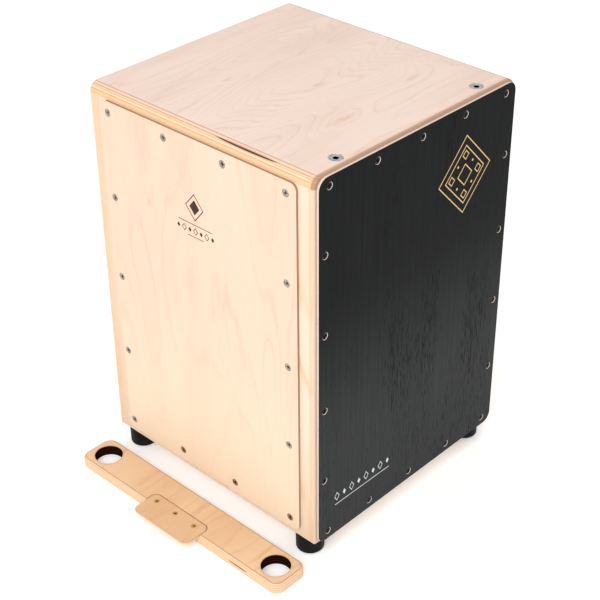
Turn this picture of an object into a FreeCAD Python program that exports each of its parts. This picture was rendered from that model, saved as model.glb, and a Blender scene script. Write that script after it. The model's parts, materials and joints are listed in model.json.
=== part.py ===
import FreeCAD, Part
import math
import os

from FreeCAD import Vector

# A cajon: a plywood box drum with a screwed-on front plate, a second striking panel on its left side,
# snare strings tuned by two bolts in the seat, rubber feet, and the loose bar that holds a bass pedal.
# Millimetres. +Z is up, the front plate faces -Y and the side striking panel faces -X.
# The origin is the centre of the underside of the whole set, on the floor.

# Body of the drum
BODY_WIDTH = 317.0
BODY_HEIGHT = 460.0
BODY_DEPTH = 328.5
UPPER_EDGE_RADIUS = 11.0
LOWER_EDGE_RADIUS = 3.0
RIM_RADIUS = 2.5
SEAT_THICKNESS = 18.0
WALL_THICKNESS = 15.0
LAP_WIDTH = 7.5
LAP_HEIGHT = 6.0
BATTEN = 12.0

# Back board, let into a rebate, with the sound hole
BACK_THICKNESS = 4.0
BACK_INSET = 9.0
BACK_RADIUS = 6.0
SOUND_HOLE_RADIUS = 60.0
SOUND_HOLE_HEIGHT = 330.0

# Front plate and its screws
PLATE_THICKNESS = 3.5
PLATE_INSET = 1.4
PLATE_LEFT_INSET = 2.8
PLATE_UPPER_RADIUS = 13.0
PLATE_LOWER_RADIUS = 12.0
PLATE_EDGE_ROUND = 0.5
PLATE_SCREW_INSET = 12.5
PLATE_ROW_PITCH = 70.0
PLATE_ROW_COUNT = 5
PLATE_COLUMN_PITCH = 95.0
PLATE_COLUMN_COUNT = 4
PLATE_SCREW_HEAD_RADIUS = 3.8
PLATE_SCREW_SUNK = 0.5

# Side striking panel, its screws and the window behind it
PANEL_THICKNESS = 3.0
PANEL_RADIUS = 8.0
PANEL_EDGE_ROUND = 0.4
PANEL_FRONT_INSET = 20.5
PANEL_BACK_INSET = 24.0
PANEL_TOP_INSET = 12.0
PANEL_BOTTOM_INSET = 10.0
PANEL_SCREW_PITCH_Y = 87.4
PANEL_SCREW_COUNT_Y = 4
PANEL_SCREW_PITCH_Z = 102.8
PANEL_SCREW_COUNT_Z = 5
PANEL_SCREW_FRONT_INSET = 14.0
PANEL_SCREW_TOP_INSET = 13.5
PANEL_SCREW_SUNK = 0.5
WINDOW_MARGIN = 14.0
WINDOW_RADIUS = 20.0

# Wood screws: countersunk head with a cross recess
SCREW_HEAD_RADIUS = 4.2
SCREW_SHANK_RADIUS = 1.75
SCREW_LENGTH = 16.0
RECESS_REACH = 4.4
RECESS_WIDTH = 1.1
RECESS_DEPTH = 1.6

# Rubber feet
FOOT_HEIGHT = 24.0
FOOT_RADIUS = 16.5
FOOT_BASE_RADIUS = 16.2
FOOT_ROUND = 3.0
FOOT_INSET_X = 17.0
FOOT_INSET_Y = 22.5
FOOT_WELL_RADIUS = 7.5
FOOT_WELL_DEPTH = 16.0
WASHER_RADIUS = 7.0
WASHER_THICKNESS = 1.2
FOOT_SCREW_HEAD_RADIUS = 4.2
FOOT_SCREW_HEAD_HEIGHT = 2.6
FOOT_SCREW_LENGTH = 22.0

# Tuning bolts, M8 by 1.25, in flanged bushes near the seat's front edge
TUNER_OFFSET = 111.0
TUNER_SETBACK = 15.2
TUNER_SUNK = 0.3
BOLT_RADIUS = 4.0
BOLT_HEAD_RADIUS = 6.6
BOLT_LENGTH = 66.0
SOCKET_ACROSS_FLATS = 6.0
SOCKET_DEPTH = 3.2
RUNNING_GAP = 0.05
BUSH_FLANGE_RADIUS = 7.9
BUSH_FLANGE_HEIGHT = 4.5
BUSH_SLEEVE_RADIUS = 5.6

# Snare strings, the carriers that pull them and the anchors that hold their lower ends
STRING_RADIUS = 0.45
STRING_COUNT = 4
STRING_PITCH = 7.5
STRING_PLATE_GAP = 1.2
CARRIER_WIDTH = 34.0
CARRIER_HEIGHT = 12.0
CARRIER_BACK = 8.0
CARRIER_DROP = 24.0
PLATE_CLEARANCE = 0.6
BALL_RADIUS = 1.9
BALL_HEIGHT = 3.0
ANCHOR_HEIGHT = 16.0
ANCHOR_DEPTH = 26.0
ANCHOR_HOLE_RADIUS = 1.0
ANCHOR_SCREW_OFFSET = 10.0
ANCHOR_SCREW_SETBACK = 17.0
STRING_END_GAP = 4.0

# Bar for the bass pedal, lying beside the drum, with its tongue plate
BAR_WIDTH = 49.0
BAR_LENGTH = 334.0
BAR_THICKNESS = 13.5
BAR_CORNER = 12.0
BAR_TOP_ROUND = 3.5
BAR_BOTTOM_ROUND = 1.0
BAR_GAP = 19.4
BAR_OVERHANG = 4.1
BAR_HOLE_RADIUS = 17.0
TONGUE_REACH = 89.5
TONGUE_INNER = 51.7
TONGUE_OFFSET = 1.25
TONGUE_WIDTH = 90.5
TONGUE_THICKNESS = 3.0
TONGUE_CORNER = 8.0
TONGUE_EDGE_ROUND = 0.8
POCKET_GAP = 0.8
TONGUE_SCREW_SETBACK = 61.2
TONGUE_SCREW_OFFSET = 3.4
TONGUE_SCREW_PITCH = 31.5
TONGUE_SCREW_HEAD = 3.2
TONGUE_SCREW_SHANK = 1.5
TONGUE_SCREW_LENGTH = 10.0
TONGUE_SCREW_SUNK = 0.2

# Places worked out from the sizes above
TOTAL_WIDTH = TONGUE_REACH + BODY_WIDTH
TOTAL_DEPTH = BAR_OVERHANG + PLATE_THICKNESS + BODY_DEPTH
BODY_LEFT = TONGUE_REACH - TOTAL_WIDTH / 2
BODY_RIGHT = TOTAL_WIDTH / 2
BODY_X = (BODY_LEFT + BODY_RIGHT) / 2
PLATE_FRONT = BAR_OVERHANG - TOTAL_DEPTH / 2
BODY_FRONT = PLATE_FRONT + PLATE_THICKNESS
BODY_BACK = BODY_FRONT + BODY_DEPTH
BODY_Y = (BODY_FRONT + BODY_BACK) / 2
BODY_BOTTOM = FOOT_HEIGHT
BODY_TOP = FOOT_HEIGHT + BODY_HEIGHT
INNER_LEFT = BODY_LEFT + WALL_THICKNESS
INNER_RIGHT = BODY_RIGHT - WALL_THICKNESS
INNER_BOTTOM = BODY_BOTTOM + SEAT_THICKNESS
INNER_TOP = BODY_TOP - SEAT_THICKNESS
BACK_FACE = BODY_BACK - BACK_THICKNESS
PANEL_FRONT = BODY_FRONT + PANEL_FRONT_INSET
PANEL_BACK = BODY_BACK - PANEL_BACK_INSET
PANEL_TOP = BODY_TOP - PANEL_TOP_INSET
PANEL_BOTTOM = BODY_BOTTOM + PANEL_BOTTOM_INSET
TUNER_Y = BODY_FRONT + TUNER_SETBACK
STRING_Y = BODY_FRONT + STRING_PLATE_GAP
CARRIER_TOP = INNER_TOP - CARRIER_DROP
FOOT_SPACING = BODY_DEPTH - 2 * FOOT_INSET_Y
BAR_X = BODY_LEFT - BAR_GAP - BAR_WIDTH / 2
BAR_Y = PLATE_FRONT - BAR_OVERHANG + BAR_LENGTH / 2
TONGUE_Y = BAR_Y + TONGUE_OFFSET

SIDES = {"left": -1, "right": 1}
UP = Vector(0, 0, 1)
FORWARD = Vector(0, -1, 0)
OUT_LEFT = Vector(-1, 0, 0)


def block(x0, x1, y0, y1, z0, z1):
    """A box between two corners."""
    return Part.makeBox(x1 - x0, y1 - y0, z1 - z0, Vector(x0, y0, z0))


def edges_along(shape, direction):
    """The straight edges of a shape that run along a direction."""
    found = []
    for edge in shape.Edges:
        span = edge.Vertexes[-1].Point - edge.Vertexes[0].Point
        if span.Length > 0 and span.cross(direction).Length < 1e-6 * span.Length:
            found.append(edge)
    return found


def edges_at(shape, direction, level):
    """The edges of a shape that lie wholly in the plane at one level along a direction."""
    found = []
    for edge in shape.Edges:
        levels = [edge.valueAt(t).dot(direction) for t in edge.ParameterRange]
        middle = edge.valueAt(sum(edge.ParameterRange) / 2).dot(direction)
        if max(abs(value - level) for value in levels + [middle]) < 1e-6:
            found.append(edge)
    return found


def rounded_block(x0, x1, y0, y1, z0, z1, direction, radius):
    """A box whose edges along one direction are rounded."""
    solid = block(x0, x1, y0, y1, z0, z1)
    return solid.makeFillet(radius, edges_along(solid, direction))


def long_edged_block(x0, x1, y0, y1, z0, z1, upper, lower):
    """A box whose edges along Y are rounded: the upper pair by one radius, the lower pair by another."""
    solid = block(x0, x1, y0, y1, z0, z1)
    for level, radius in ((z1, upper), (z0, lower)):
        long_edges = edges_along(solid, Vector(0, 1, 0))
        pair = [edge for edge in long_edges if abs(edge.CenterOfMass.z - level) < 1e-6]
        solid = solid.makeFillet(radius, pair)
    return solid


def turned(outline):
    """A solid of revolution about Z from (radius, height) corners."""
    points = [Vector(radius, 0, height) for radius, height in outline]
    face = Part.Face(Part.makePolygon(points + points[:1]))
    return face.revolve(Vector(0, 0, 0), UP, 360)


def placed(shape, point, outward=UP):
    """A copy of a shape made along +Z, turned to face outward and moved to a point."""
    copy = shape.copy()
    copy.Placement = FreeCAD.Placement(point, FreeCAD.Rotation(UP, outward))
    return copy


def countersunk_screw(head, shank, length, recess):
    """A countersunk screw along Z with the middle of its head's face at the origin."""
    outline = [(0, 0), (head, 0), (shank, shank - head), (shank, -length + shank), (0, -length)]
    body = turned(outline)
    reach = recess * RECESS_REACH / 2
    half = recess * RECESS_WIDTH / 2
    depth = recess * RECESS_DEPTH
    for a, b in ((reach, half), (half, reach)):
        body = body.cut(block(-a, a, -b, b, -depth, 1))
    return body


def screw_hole(head, shank, length, sunk):
    """The hole for a countersunk screw whose head lies sunk below the surface, its cone running on up."""
    mouth = head + sunk
    outline = [(0, sunk), (mouth, sunk), (shank, shank - head), (shank, -length + shank), (0, -length)]
    return turned(outline)


def wood_screws(points, outward, head, sunk):
    """A group of equal wood screws, and the holes that they need."""
    screw = countersunk_screw(head, SCREW_SHANK_RADIUS, SCREW_LENGTH, head / SCREW_HEAD_RADIUS)
    hole = screw_hole(head, SCREW_SHANK_RADIUS, SCREW_LENGTH, sunk)
    seats = [point - outward * sunk for point in points]
    screws = Part.makeCompound([placed(screw, seat, outward) for seat in seats])
    holes = Part.makeCompound([placed(hole, seat, outward) for seat in seats])
    return screws, holes


def body_block():
    """The full outer shape of the box: long edges rounded, front and back rims eased."""
    solid = long_edged_block(BODY_LEFT, BODY_RIGHT, BODY_FRONT, BODY_BACK, BODY_BOTTOM, BODY_TOP,
                             UPPER_EDGE_RADIUS, LOWER_EDGE_RADIUS)
    rims = edges_at(solid, Vector(0, 1, 0), BODY_FRONT) + edges_at(solid, Vector(0, 1, 0), BODY_BACK)
    return solid.makeFillet(RIM_RADIUS, rims)


def back_board():
    """The back board, flush in its rebate, with the round sound hole."""
    board = rounded_block(BODY_LEFT + BACK_INSET, BODY_RIGHT - BACK_INSET, BACK_FACE, BODY_BACK,
                          BODY_BOTTOM + BACK_INSET, BODY_TOP - BACK_INSET, Vector(0, 1, 0), BACK_RADIUS)
    centre = Vector(BODY_X, BACK_FACE, SOUND_HOLE_HEIGHT)
    return board.cut(Part.makeCylinder(SOUND_HOLE_RADIUS, BACK_THICKNESS, centre, Vector(0, 1, 0)))


def back_rebate():
    """The space that the back board takes from the boards around it."""
    return rounded_block(BODY_LEFT + BACK_INSET, BODY_RIGHT - BACK_INSET, BACK_FACE, BODY_BACK + 1,
                         BODY_BOTTOM + BACK_INSET, BODY_TOP - BACK_INSET, Vector(0, 1, 0), BACK_RADIUS)


def front_plate():
    """The front plate, a little inside the body's outline, its face's rim eased."""
    plate = long_edged_block(BODY_LEFT + PLATE_LEFT_INSET, BODY_RIGHT - PLATE_INSET, PLATE_FRONT, BODY_FRONT,
                             BODY_BOTTOM + PLATE_INSET, BODY_TOP - PLATE_INSET,
                             PLATE_UPPER_RADIUS, PLATE_LOWER_RADIUS)
    return plate.makeFillet(PLATE_EDGE_ROUND, edges_at(plate, Vector(0, 1, 0), PLATE_FRONT))


def front_plate_points():
    """Screw places on the front plate: a row along its top and bottom, a column up each side."""
    points = []
    for height in (BODY_BOTTOM + PLATE_SCREW_INSET, BODY_TOP - PLATE_SCREW_INSET):
        for i in range(PLATE_ROW_COUNT):
            x = BODY_X + (i - (PLATE_ROW_COUNT - 1) / 2) * PLATE_ROW_PITCH
            points.append(Vector(x, PLATE_FRONT, height))
    middle = (BODY_BOTTOM + BODY_TOP) / 2
    for x in (BODY_LEFT + PLATE_SCREW_INSET, BODY_RIGHT - PLATE_SCREW_INSET):
        for i in range(PLATE_COLUMN_COUNT):
            height = middle + (i - (PLATE_COLUMN_COUNT - 1) / 2) * PLATE_COLUMN_PITCH
            points.append(Vector(x, PLATE_FRONT, height))
    return points


def side_panel():
    """The thin striking panel, standing proud of the left wall, its face's rim eased."""
    outer = BODY_LEFT - PANEL_THICKNESS
    panel = rounded_block(outer, BODY_LEFT, PANEL_FRONT, PANEL_BACK, PANEL_BOTTOM, PANEL_TOP,
                          Vector(1, 0, 0), PANEL_RADIUS)
    return panel.makeFillet(PANEL_EDGE_ROUND, edges_at(panel, Vector(1, 0, 0), outer))


def side_panel_points():
    """Screw places around the edge of the side panel."""
    points = []
    for i in range(PANEL_SCREW_COUNT_Y):
        for j in range(PANEL_SCREW_COUNT_Z):
            if i in (0, PANEL_SCREW_COUNT_Y - 1) or j in (0, PANEL_SCREW_COUNT_Z - 1):
                y = PANEL_FRONT + PANEL_SCREW_FRONT_INSET + i * PANEL_SCREW_PITCH_Y
                z = PANEL_TOP - PANEL_SCREW_TOP_INSET - j * PANEL_SCREW_PITCH_Z
                points.append(Vector(BODY_LEFT - PANEL_THICKNESS, y, z))
    return points


def side_window():
    """The window in the left wall behind the striking panel, inside its ring of screws."""
    points = side_panel_points()
    low_y = min(point.y for point in points) + WINDOW_MARGIN
    high_y = max(point.y for point in points) - WINDOW_MARGIN
    low_z = min(point.z for point in points) + WINDOW_MARGIN
    high_z = max(point.z for point in points) - WINDOW_MARGIN
    return rounded_block(BODY_LEFT - 1, INNER_LEFT + 1, low_y, high_y, low_z, high_z,
                         Vector(1, 0, 0), WINDOW_RADIUS)


def battens():
    """Square glue battens up the inside corners, two against the front plate and two against the back."""
    depths = {"front": (BODY_FRONT, BODY_FRONT + BATTEN), "back": (BACK_FACE - BATTEN, BACK_FACE)}
    widths = {"left": (INNER_LEFT, INNER_LEFT + BATTEN), "right": (INNER_RIGHT - BATTEN, INNER_RIGHT)}
    return {f"batten_{end}_{side}": block(*widths[side], *depths[end], INNER_BOTTOM, INNER_TOP)
            for end in depths for side in widths}


def foot():
    """A rubber foot standing on the floor at the origin, with the well for its screw."""
    hole = SCREW_SHANK_RADIUS
    outline = [(hole, FOOT_HEIGHT), (FOOT_RADIUS, FOOT_HEIGHT), (FOOT_BASE_RADIUS, 0),
               (FOOT_WELL_RADIUS, 0), (FOOT_WELL_RADIUS, FOOT_WELL_DEPTH), (hole, FOOT_WELL_DEPTH)]
    solid = turned(outline)
    lower = [edge for edge in edges_at(solid, UP, 0) if edge.Curve.Radius > FOOT_WELL_RADIUS + 1]
    return solid.makeFillet(FOOT_ROUND, lower)


def foot_points():
    """Where the four feet stand, by name."""
    places = {}
    for end, y in (("front", BODY_FRONT + FOOT_INSET_Y), ("back", BODY_BACK - FOOT_INSET_Y)):
        for side, x in (("left", BODY_LEFT + FOOT_INSET_X), ("right", BODY_RIGHT - FOOT_INSET_X)):
            places[f"{end}_{side}"] = Vector(x, y, 0)
    return places


def foot_washer():
    """The steel washer in the top of a foot's well."""
    low = FOOT_WELL_DEPTH - WASHER_THICKNESS
    outline = [(SCREW_SHANK_RADIUS, low), (WASHER_RADIUS, low),
               (WASHER_RADIUS, FOOT_WELL_DEPTH), (SCREW_SHANK_RADIUS, FOOT_WELL_DEPTH)]
    return turned(outline)


def foot_screw():
    """The pan-head screw that goes up through the washer and the foot into the base."""
    seat = FOOT_WELL_DEPTH - WASHER_THICKNESS
    low = seat - FOOT_SCREW_HEAD_HEIGHT
    outline = [(0, low), (FOOT_SCREW_HEAD_RADIUS - 1, low), (FOOT_SCREW_HEAD_RADIUS, low + 1),
               (FOOT_SCREW_HEAD_RADIUS, seat), (SCREW_SHANK_RADIUS, seat),
               (SCREW_SHANK_RADIUS, seat + FOOT_SCREW_LENGTH - SCREW_SHANK_RADIUS),
               (0, seat + FOOT_SCREW_LENGTH)]
    body = turned(outline)
    reach = RECESS_REACH / 2
    half = RECESS_WIDTH / 2
    for a, b in ((reach, half), (half, reach)):
        body = body.cut(block(-a, a, -b, b, low - 1, low + RECESS_DEPTH))
    return body


def tuner_bush():
    """The flanged steel bush let into the seat, coned inside for the bolt's head; its top is the origin."""
    bore = BOLT_RADIUS + RUNNING_GAP
    mouth = BOLT_HEAD_RADIUS + TUNER_SUNK + RUNNING_GAP
    taper = BUSH_FLANGE_RADIUS - BUSH_SLEEVE_RADIUS
    outline = [(mouth, 0), (BUSH_FLANGE_RADIUS, 0), (BUSH_FLANGE_RADIUS, taper - BUSH_FLANGE_HEIGHT),
               (BUSH_SLEEVE_RADIUS, -BUSH_FLANGE_HEIGHT), (BUSH_SLEEVE_RADIUS, -SEAT_THICKNESS),
               (bore, -SEAT_THICKNESS), (bore, bore - mouth)]
    return turned(outline)


def bush_hole():
    """The stepped hole in the seat that holds a bush."""
    taper = BUSH_FLANGE_RADIUS - BUSH_SLEEVE_RADIUS
    outline = [(0, 0), (BUSH_FLANGE_RADIUS, 0), (BUSH_FLANGE_RADIUS, taper - BUSH_FLANGE_HEIGHT),
               (BUSH_SLEEVE_RADIUS, -BUSH_FLANGE_HEIGHT), (BUSH_SLEEVE_RADIUS, -SEAT_THICKNESS),
               (0, -SEAT_THICKNESS)]
    return turned(outline)


def tuner_bolt():
    """The countersunk tuning bolt with its hex socket; the top of its head is the origin."""
    outline = [(0, 0), (BOLT_HEAD_RADIUS, 0), (BOLT_RADIUS, BOLT_RADIUS - BOLT_HEAD_RADIUS),
               (BOLT_RADIUS, 1 - BOLT_LENGTH), (BOLT_RADIUS - 1, -BOLT_LENGTH), (0, -BOLT_LENGTH)]
    corner = SOCKET_ACROSS_FLATS / math.sqrt(3)
    points = [Vector(corner * math.cos(math.radians(60 * i)), corner * math.sin(math.radians(60 * i)),
                     -SOCKET_DEPTH) for i in range(6)]
    socket = Part.Face(Part.makePolygon(points + points[:1])).extrude(UP * (SOCKET_DEPTH + 1))
    return turned(outline).cut(socket)


def string_offsets():
    """The places of the strings across one carrier."""
    return [(i - (STRING_COUNT - 1) / 2) * STRING_PITCH for i in range(STRING_COUNT)]


def vertical_rod(x, y, low, high, radius):
    """An upright round rod."""
    return Part.makeCylinder(radius, high - low, Vector(x, y, low), UP)


def snare_carrier(x):
    """The block that rides on a tuning bolt's thread and holds the upper ends of the strings."""
    half = CARRIER_WIDTH / 2
    body = block(x - half, x + half, BODY_FRONT + PLATE_CLEARANCE, TUNER_Y + CARRIER_BACK,
                 CARRIER_TOP - CARRIER_HEIGHT, CARRIER_TOP)
    body = body.makeFillet(2, edges_along(body, UP))
    low = CARRIER_TOP - CARRIER_HEIGHT
    cuts = [vertical_rod(x, TUNER_Y, low, CARRIER_TOP, BOLT_RADIUS + RUNNING_GAP)]
    for offset in string_offsets():
        cuts.append(vertical_rod(x + offset, STRING_Y, low, CARRIER_TOP, STRING_RADIUS))
    return body.cut(Part.makeCompound(cuts))


def snare_strings(x):
    """The strings from one carrier down to its anchor, each with the collar that stops it above."""
    low = INNER_BOTTOM + STRING_END_GAP
    strings = []
    for offset in string_offsets():
        wire = vertical_rod(x + offset, STRING_Y, low, CARRIER_TOP + BALL_HEIGHT, STRING_RADIUS)
        collar = vertical_rod(x + offset, STRING_Y + BALL_RADIUS - STRING_PLATE_GAP / 2,
                              CARRIER_TOP, CARRIER_TOP + BALL_HEIGHT, BALL_RADIUS)
        strings.append(wire.fuse(collar).removeSplitter())
    return Part.makeCompound(strings)


def anchor_points(x):
    """The two screw places of one string anchor."""
    y = BODY_FRONT + PLATE_CLEARANCE + ANCHOR_SCREW_SETBACK
    return [Vector(x + side * ANCHOR_SCREW_OFFSET, y, INNER_BOTTOM + ANCHOR_HEIGHT) for side in (-1, 1)]


def string_anchor(x):
    """The block on the base that guides the lower ends of one set of strings."""
    half = CARRIER_WIDTH / 2
    front = BODY_FRONT + PLATE_CLEARANCE
    body = block(x - half, x + half, front, front + ANCHOR_DEPTH,
                 INNER_BOTTOM, INNER_BOTTOM + ANCHOR_HEIGHT)
    body = body.makeFillet(2, edges_at(body, UP, INNER_BOTTOM + ANCHOR_HEIGHT))
    slots = []
    for offset in string_offsets():
        slot = vertical_rod(x + offset, STRING_Y, INNER_BOTTOM, INNER_BOTTOM + ANCHOR_HEIGHT,
                            ANCHOR_HOLE_RADIUS)
        slots.append(slot)
        slots.append(block(x + offset - ANCHOR_HOLE_RADIUS, x + offset + ANCHOR_HOLE_RADIUS,
                           front - 1, STRING_Y, INNER_BOTTOM, INNER_BOTTOM + ANCHOR_HEIGHT))
    return body.cut(Part.makeCompound(slots))


def pedal_bar():
    """The bar that slips over two feet, with a shallow pocket for the tongue plate."""
    x0 = BAR_X - BAR_WIDTH / 2
    y0 = BAR_Y - BAR_LENGTH / 2
    bar = rounded_block(x0, x0 + BAR_WIDTH, y0, y0 + BAR_LENGTH, 0, BAR_THICKNESS, UP, BAR_CORNER)
    bar = bar.makeFillet(BAR_TOP_ROUND, edges_at(bar, UP, BAR_THICKNESS))
    bar = bar.makeFillet(BAR_BOTTOM_ROUND, edges_at(bar, UP, 0))
    for point in bar_hole_points():
        bar = bar.cut(Part.makeCylinder(BAR_HOLE_RADIUS, BAR_THICKNESS, point, UP))
    half = TONGUE_WIDTH / 2 + POCKET_GAP
    pocket = rounded_block(BODY_LEFT - TONGUE_REACH, BODY_LEFT - TONGUE_INNER + POCKET_GAP,
                           TONGUE_Y - half, TONGUE_Y + half,
                           BAR_THICKNESS - TONGUE_THICKNESS, BAR_THICKNESS + 1, UP, TONGUE_CORNER)
    return bar.cut(pocket)


def bar_hole_points():
    """The centres of the bar's two foot holes, on the floor."""
    return [Vector(BAR_X, BAR_Y + side * FOOT_SPACING / 2, 0) for side in (-1, 1)]


def pedal_plate():
    """The tongue plate that the pedal's clamp grips, flush in the bar's pocket."""
    plate = rounded_block(BODY_LEFT - TONGUE_REACH, BODY_LEFT - TONGUE_INNER,
                          TONGUE_Y - TONGUE_WIDTH / 2, TONGUE_Y + TONGUE_WIDTH / 2,
                          BAR_THICKNESS - TONGUE_THICKNESS, BAR_THICKNESS, UP, TONGUE_CORNER)
    return plate.makeFillet(TONGUE_EDGE_ROUND, edges_at(plate, UP, BAR_THICKNESS))


def pedal_plate_screws():
    """The three small screws of the tongue plate, and their holes."""
    recess = TONGUE_SCREW_HEAD / SCREW_HEAD_RADIUS
    screw = countersunk_screw(TONGUE_SCREW_HEAD, TONGUE_SCREW_SHANK, TONGUE_SCREW_LENGTH, recess)
    hole = screw_hole(TONGUE_SCREW_HEAD, TONGUE_SCREW_SHANK, TONGUE_SCREW_LENGTH, TONGUE_SCREW_SUNK)
    seats = [Vector(BODY_LEFT - TONGUE_SCREW_SETBACK, BAR_Y + TONGUE_SCREW_OFFSET + i * TONGUE_SCREW_PITCH,
                    BAR_THICKNESS - TONGUE_SCREW_SUNK) for i in (-1, 0, 1)]
    screws = Part.makeCompound([placed(screw, seat) for seat in seats])
    holes = Part.makeCompound([placed(hole, seat) for seat in seats])
    return screws, holes


def wall_space(outer, inner, lap):
    """The space of a wall: its outer half laps up into the seat and runs down past the base to the bottom."""
    front, back = BODY_FRONT, BODY_BACK
    inner_part = block(*sorted((outer, inner)), front, back, INNER_BOTTOM, INNER_TOP)
    outer_part = block(*sorted((outer, lap)), front, back, BODY_BOTTOM, INNER_TOP + LAP_HEIGHT)
    return inner_part.fuse(outer_part).removeSplitter()


def drum_body(nodes, holes):
    """The seat, base and walls, cut from one outer shape, with the back board and battens."""
    outer = body_block().cut(back_rebate())
    for cutter in holes:
        outer = outer.cut(cutter)
    front, back = BODY_FRONT, BODY_BACK
    left_space = wall_space(BODY_LEFT, INNER_LEFT, BODY_LEFT + LAP_WIDTH)
    right_space = wall_space(BODY_RIGHT, INNER_RIGHT, BODY_RIGHT - LAP_WIDTH)
    seat_space = block(BODY_LEFT, BODY_RIGHT, front, back, INNER_TOP, BODY_TOP)
    base_space = block(BODY_LEFT + LAP_WIDTH, BODY_RIGHT - LAP_WIDTH, front, back, BODY_BOTTOM, INNER_BOTTOM)
    nodes["seat_board"] = outer.common(seat_space.cut(left_space).cut(right_space))
    nodes["base_board"] = outer.common(base_space)
    nodes["left_wall"] = outer.common(left_space).cut(side_window())
    nodes["right_wall"] = outer.common(right_space)
    nodes["back_board"] = back_board()
    nodes.update(battens())


def build():
    """Every piece of the set, by node name."""
    nodes = {}
    plate_screws, plate_holes = wood_screws(front_plate_points(), FORWARD, PLATE_SCREW_HEAD_RADIUS,
                                             PLATE_SCREW_SUNK)
    panel_screws, panel_holes = wood_screws(side_panel_points(), OUT_LEFT, SCREW_HEAD_RADIUS,
                                            PANEL_SCREW_SUNK)
    feet = foot_points()
    foot_screws = Part.makeCompound([placed(foot_screw(), point) for point in feet.values()])
    pilot = vertical_rod(0, 0, 0, FOOT_WELL_DEPTH - WASHER_THICKNESS + FOOT_SCREW_LENGTH, SCREW_SHANK_RADIUS)
    foot_pilots = Part.makeCompound([placed(pilot, point) for point in feet.values()])
    tuner_tops = {side: Vector(BODY_X + sign * TUNER_OFFSET, TUNER_Y, BODY_TOP)
                  for side, sign in SIDES.items()}
    bush_holes = Part.makeCompound([placed(bush_hole(), top) for top in tuner_tops.values()])
    anchor_tops = [point for top in tuner_tops.values() for point in anchor_points(top.x)]
    anchor_screws, anchor_holes = wood_screws(anchor_tops, UP, SCREW_HEAD_RADIUS, 0)

    drum_body(nodes, [plate_holes, panel_holes, foot_pilots, bush_holes, anchor_holes])
    nodes["front_plate"] = front_plate().cut(plate_holes)
    nodes["front_plate_screws"] = plate_screws
    nodes["side_panel"] = side_panel().cut(panel_holes)
    nodes["side_panel_screws"] = panel_screws

    for name, point in feet.items():
        nodes[f"foot_{name}"] = placed(foot(), point)
    nodes["foot_washers"] = Part.makeCompound([placed(foot_washer(), point) for point in feet.values()])
    nodes["foot_screws"] = foot_screws

    for side, top in tuner_tops.items():
        nodes[f"tuner_bush_{side}"] = placed(tuner_bush(), top)
        nodes[f"tuner_bolt_{side}"] = placed(tuner_bolt(), top - UP * TUNER_SUNK)
        nodes[f"snare_carrier_{side}"] = snare_carrier(top.x)
        nodes[f"snare_strings_{side}"] = snare_strings(top.x)
        nodes[f"string_anchor_{side}"] = string_anchor(top.x).cut(anchor_holes)
    nodes["string_anchor_screws"] = anchor_screws

    tongue_screws, tongue_holes = pedal_plate_screws()
    nodes["pedal_bar"] = pedal_bar().cut(tongue_holes)
    nodes["pedal_plate"] = pedal_plate().cut(tongue_holes)
    nodes["pedal_plate_screws"] = tongue_screws
    return nodes


os.makedirs("parts", exist_ok=True)
for name, shape in build().items():
    print(f"{name:24s} solids {len(shape.Solids):2d} valid {shape.isValid()} volume {shape.Volume:10.1f}")
    shape.exportStep(f"parts/{name}.step")
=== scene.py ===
import json
import math

import bmesh
import bpy
from mathutils import Matrix, Vector


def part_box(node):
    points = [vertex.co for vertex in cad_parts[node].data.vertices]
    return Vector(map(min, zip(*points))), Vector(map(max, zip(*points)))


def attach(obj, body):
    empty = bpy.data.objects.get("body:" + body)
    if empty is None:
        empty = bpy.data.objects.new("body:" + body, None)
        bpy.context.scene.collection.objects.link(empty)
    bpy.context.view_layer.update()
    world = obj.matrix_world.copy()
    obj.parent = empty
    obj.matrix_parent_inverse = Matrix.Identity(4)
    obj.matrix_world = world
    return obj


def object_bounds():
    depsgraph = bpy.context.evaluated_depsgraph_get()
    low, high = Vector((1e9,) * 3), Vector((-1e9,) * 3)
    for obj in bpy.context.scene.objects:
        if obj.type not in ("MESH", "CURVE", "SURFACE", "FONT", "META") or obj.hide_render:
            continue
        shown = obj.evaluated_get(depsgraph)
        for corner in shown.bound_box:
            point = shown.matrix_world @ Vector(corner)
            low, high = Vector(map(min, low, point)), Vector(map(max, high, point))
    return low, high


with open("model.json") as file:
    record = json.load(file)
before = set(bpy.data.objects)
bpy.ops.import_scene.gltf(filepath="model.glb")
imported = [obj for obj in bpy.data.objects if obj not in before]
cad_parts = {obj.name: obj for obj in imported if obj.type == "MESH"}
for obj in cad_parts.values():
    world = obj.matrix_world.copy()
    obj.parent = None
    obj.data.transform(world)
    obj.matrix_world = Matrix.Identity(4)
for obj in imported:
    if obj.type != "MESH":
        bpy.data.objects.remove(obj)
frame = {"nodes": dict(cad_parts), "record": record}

# A cajon: a birch plywood box drum with a black stained front plate, a second striking panel
# on its left side, and the loose bar that holds a bass pedal. Objects are in metres, +Z up.
# Materials count millimetres in the object's own coordinates.

MM = 0.001
X, Y, Z = 0, 1, 2
cad_low, cad_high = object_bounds()


# ---------------------------------------------------------------- material building

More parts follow.
